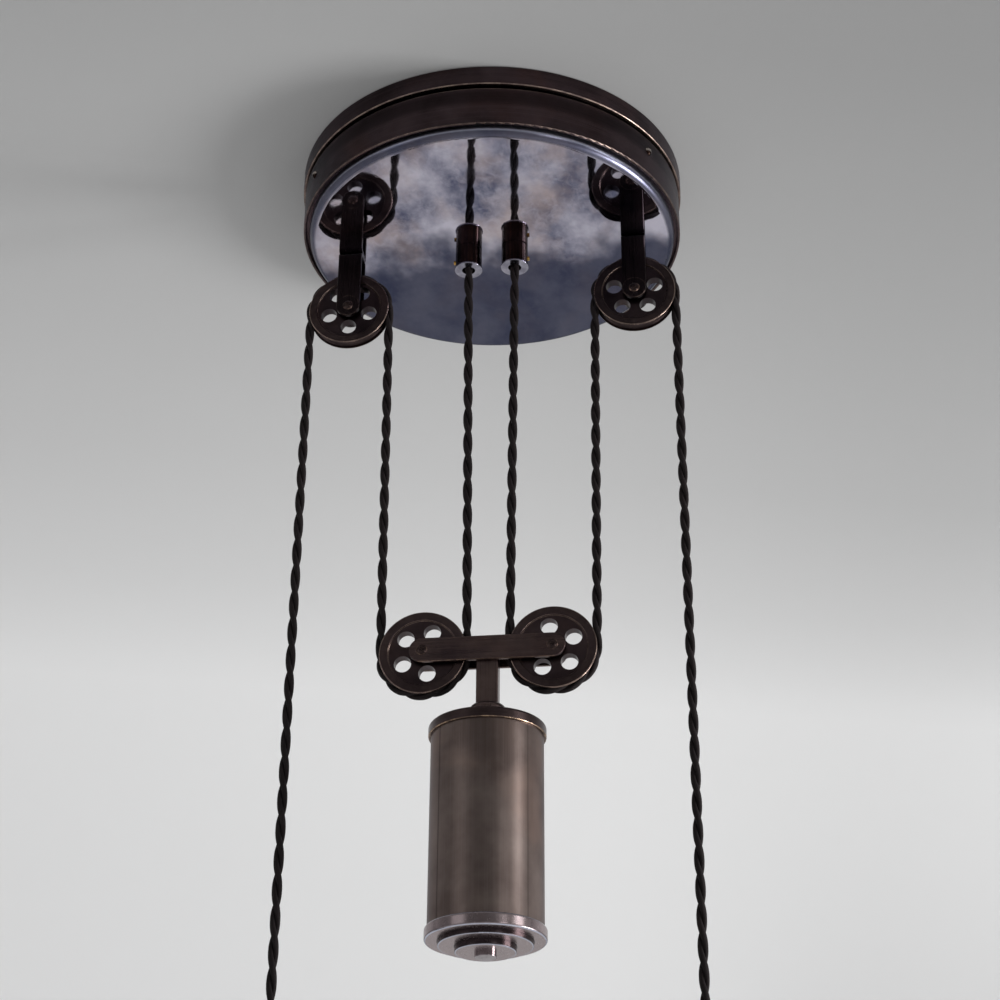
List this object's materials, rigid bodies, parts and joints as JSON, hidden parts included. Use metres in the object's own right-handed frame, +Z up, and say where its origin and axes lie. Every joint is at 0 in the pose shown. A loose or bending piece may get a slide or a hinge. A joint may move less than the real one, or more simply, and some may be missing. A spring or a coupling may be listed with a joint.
{
  "type": "rise and fall pendant",
  "caption": "Twin-flex rise and fall ceiling pendant: round mirrored canopy, ceiling pulleys, and a cylindrical counterweight slung on a yoke of moving pulleys.",
  "frame": {"origin": "middle of the ceiling plate's upper face, between its two fixing holes", "axes": "+Z up to the ceiling, +X along the line of the pulleys to the right, -Y towards the viewer"},
  "size_m": [0.305, 0.2623, 0.646],
  "materials": {
    "bronzed_canopy": "dark bronze patina, satin",
    "polished_disc": "mirror polished, clouded blue-grey patina",
    "nickel": "bright nickel plate",
    "plated_steel": "zinc plated",
    "copper_screw": "dark bronze worn to copper",
    "nylon": "moulded, matt",
    "brass": "bare turned brass",
    "bronzed_strap": "brown bronze patina, brushed, satin",
    "bronzed_axle": "bronzed, rubbed bright at the rim",
    "bronzed_pulley": "brown bronze patina, copper glints at the edges",
    "bush_bronze": "sintered bronze",
    "bronzed_weight": "warm grey-brown patina, lacquered satin",
    "bronzed_base": "pinkish grey patina, polished steps",
    "ballast_iron": "as cast",
    "braided_flex": "two braided cores, twisted, black-brown",
    "bronzed_holder": "dark bronze patina, satin",
    "holder_insert": "moulded thermoset"
  },
  "bodies": {
    "canopy": {"ceiling_plate": "bronzed_canopy", "plate_skirt": "bronzed_canopy", "canopy_can": "bronzed_canopy", "canopy_disc": "polished_disc", "canopy_bridge": "plated_steel", "canopy_side_screws": "copper_screw", "terminal_block": "nylon", "terminal_screws": "brass", "earth_post": "brass", "cord_grip_left": "bronzed_canopy", "cord_grip_right": "bronzed_canopy", "cord_grip_rings": "nickel", "cord_grip_nuts": "plated_steel", "cord_grip_screws": "brass", "hanger_left": "bronzed_strap", "hanger_right": "bronzed_strap", "hanger_screws": "plated_steel", "hanger_nuts": "plated_steel", "upper_axles": "bronzed_axle", "upper_axle_nuts": "bronzed_axle", "flex_tails": "braided_flex", "flex_inner_left": "braided_flex", "flex_inner_right": "braided_flex", "flex_middle_left": "braided_flex", "flex_middle_right": "braided_flex", "flex_upper_wrap_left": "braided_flex", "flex_upper_wrap_right": "braided_flex", "flex_outer_left": "braided_flex", "flex_outer_right": "braided_flex"},
    "upper_pulley_left": {"upper_pulley_left": "bronzed_pulley", "upper_bush_left": "bush_bronze"},
    "upper_pulley_right": {"upper_pulley_right": "bronzed_pulley", "upper_bush_right": "bush_bronze"},
    "counterweight": {"yoke_front_bar": "bronzed_strap", "yoke_back_bar": "bronzed_strap", "yoke_stem": "bronzed_strap", "lower_axles": "bronzed_axle", "lower_axle_nuts": "bronzed_axle", "counterweight_cap": "bronzed_weight", "counterweight_tube": "bronzed_weight", "counterweight_base": "bronzed_base", "ballast": "ballast_iron", "tie_rod": "plated_steel", "end_nut": "bronzed_base", "flex_lower_wrap_left": "braided_flex", "flex_lower_wrap_right": "braided_flex"},
    "lower_pulley_left": {"lower_pulley_left": "bronzed_pulley", "lower_bush_left": "bush_bronze"},
    "lower_pulley_right": {"lower_pulley_right": "bronzed_pulley", "lower_bush_right": "bush_bronze"},
    "lampholder_left": {"holder_cap_left": "bronzed_holder", "holder_body_left": "bronzed_holder", "holder_insert_left": "holder_insert", "holder_contacts_left": "brass", "shade_ring_left": "bronzed_holder"},
    "lampholder_right": {"holder_cap_right": "bronzed_holder", "holder_body_right": "bronzed_holder", "holder_insert_right": "holder_insert", "holder_contacts_right": "brass", "shade_ring_right": "bronzed_holder"}
  },
  "joints": [
    {"name": "counterweight_slide", "type": "slide", "parent": "canopy", "child": "counterweight", "axis": [0, 0, 1], "range_m": [-0.15, 0.15], "deforming": ["flex_inner_left", "flex_inner_right", "flex_middle_left", "flex_middle_right"]},
    {"name": "lampholder_left_slide", "type": "slide", "parent": "canopy", "child": "lampholder_left", "axis": [0, 0, 1], "range_m": [-0.301, 0.301], "deforming": ["flex_outer_left"]},
    {"name": "lampholder_right_slide", "type": "slide", "parent": "canopy", "child": "lampholder_right", "axis": [0, 0, 1], "range_m": [-0.301, 0.301], "deforming": ["flex_outer_right"]},
    {"name": "upper_pulley_left_spin", "type": "hinge", "parent": "canopy", "child": "upper_pulley_left", "pos_m": [-0.0974, 0, -0.0948], "axis": [0, 1, 0], "range_deg": [-636, 636]},
    {"name": "upper_pulley_right_spin", "type": "hinge", "parent": "canopy", "child": "upper_pulley_right", "pos_m": [0.0974, 0, -0.0948], "axis": [0, 1, 0], "range_deg": [-636, 636]},
    {"name": "lower_pulley_left_spin", "type": "hinge", "parent": "counterweight", "child": "lower_pulley_left", "pos_m": [-0.0405, 0, -0.3545], "axis": [0, 1, 0], "range_deg": [-318, 318]},
    {"name": "lower_pulley_right_spin", "type": "hinge", "parent": "counterweight", "child": "lower_pulley_right", "pos_m": [0.0405, 0, -0.3545], "axis": [0, 1, 0], "range_deg": [-318, 318]}
  ],
  "couplings": [
    {"joint": "lampholder_left_slide", "follows": "counterweight_slide", "ratio": -2},
    {"joint": "lampholder_right_slide", "follows": "counterweight_slide", "ratio": -2},
    {"joint": "upper_pulley_left_spin", "follows": "counterweight_slide", "rad_per_m": -73.801},
    {"joint": "upper_pulley_right_spin", "follows": "counterweight_slide", "rad_per_m": 73.801},
    {"joint": "lower_pulley_left_spin", "follows": "counterweight_slide", "rad_per_m": 36.9},
    {"joint": "lower_pulley_right_spin", "follows": "counterweight_slide", "rad_per_m": -36.9}
  ]
}
